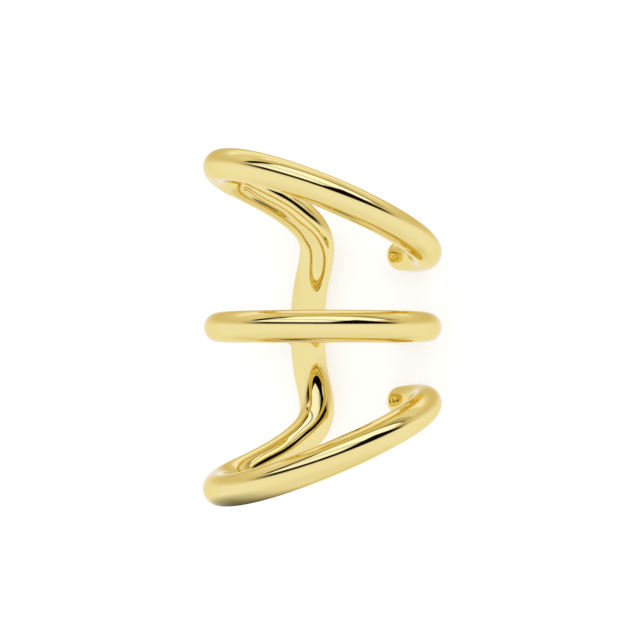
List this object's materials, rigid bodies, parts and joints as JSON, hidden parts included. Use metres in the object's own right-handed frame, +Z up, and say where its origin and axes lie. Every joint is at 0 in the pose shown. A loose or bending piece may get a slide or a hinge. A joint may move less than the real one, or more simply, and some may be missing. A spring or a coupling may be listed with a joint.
{
  "type": "ear cuff",
  "caption": "Ear cuff of polished gold-coloured wire: stacked open hoops, the outer ones slanted, fused to a back bar, with domed free ends and an open side for the ear's rim.",
  "frame": {"origin": "centre of the cuff's footprint, on the surface that it lies on", "axes": "+X along the hoops' common axis, towards the worn cuff's top; +Z up as the cuff lies; the worn cuff's front faces up and towards -Y"},
  "size_m": [0.0176, 0.012, 0.0113],
  "materials": {
    "polished_gold": "mirror-polished gold plate"
  },
  "bodies": {
    "root": {"ear_cuff": "polished_gold"}
  },
  "joints": []
}
